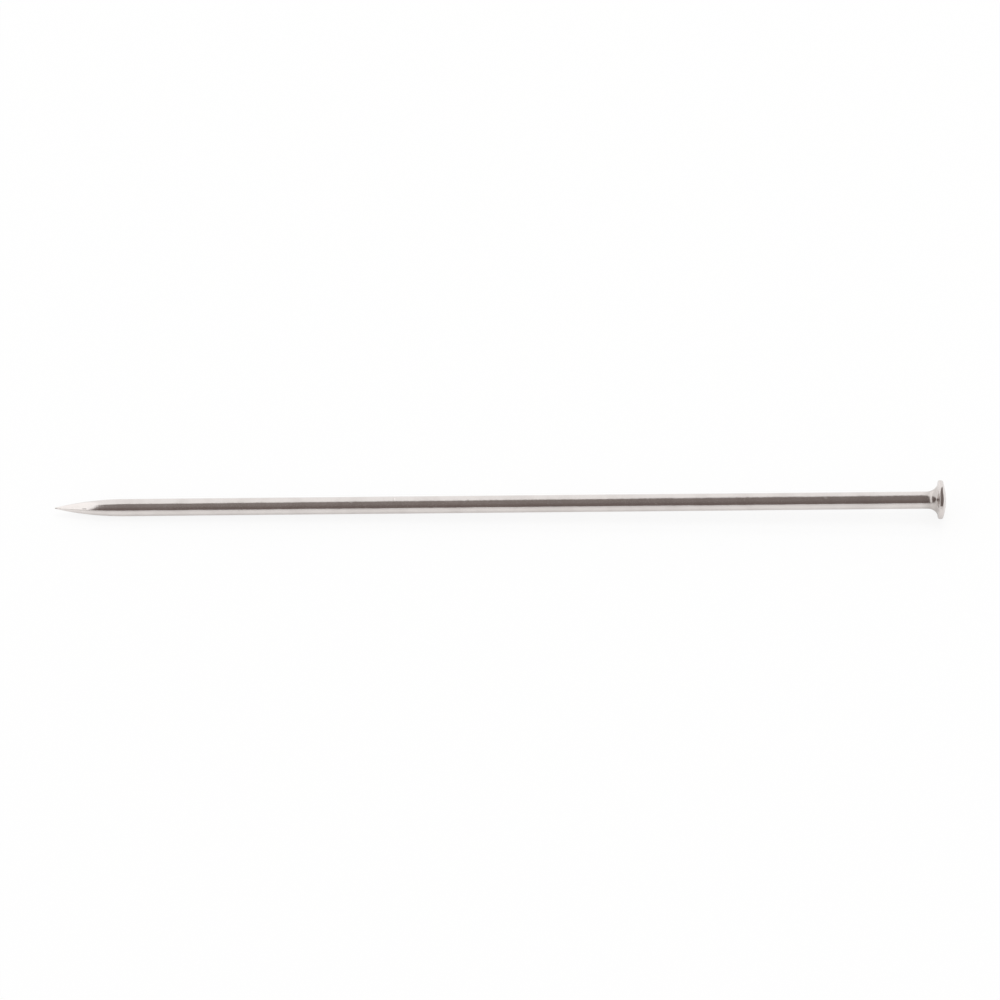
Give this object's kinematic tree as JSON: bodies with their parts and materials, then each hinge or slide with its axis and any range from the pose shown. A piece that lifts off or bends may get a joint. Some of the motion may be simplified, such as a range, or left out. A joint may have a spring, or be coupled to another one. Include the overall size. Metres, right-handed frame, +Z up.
{
  "type": "straight pin",
  "caption": "Slender dressmaker's pin of drawn steel wire, with a small flared, domed head and a long ground point.",
  "frame": {"origin": "on the surface that the pin lies on, below the middle of its length and width", "axes": "+X along the lying pin towards its head, +Y across it, +Z up; the pin's own axis climbs 0.76 degrees towards the head, because it lies on the head's rim"},
  "size_m": [0.031, 0.0014, 0.0014],
  "materials": {
    "plated_steel": "polished"
  },
  "bodies": {
    "root": {"straight_pin": "plated_steel"}
  },
  "joints": []
}
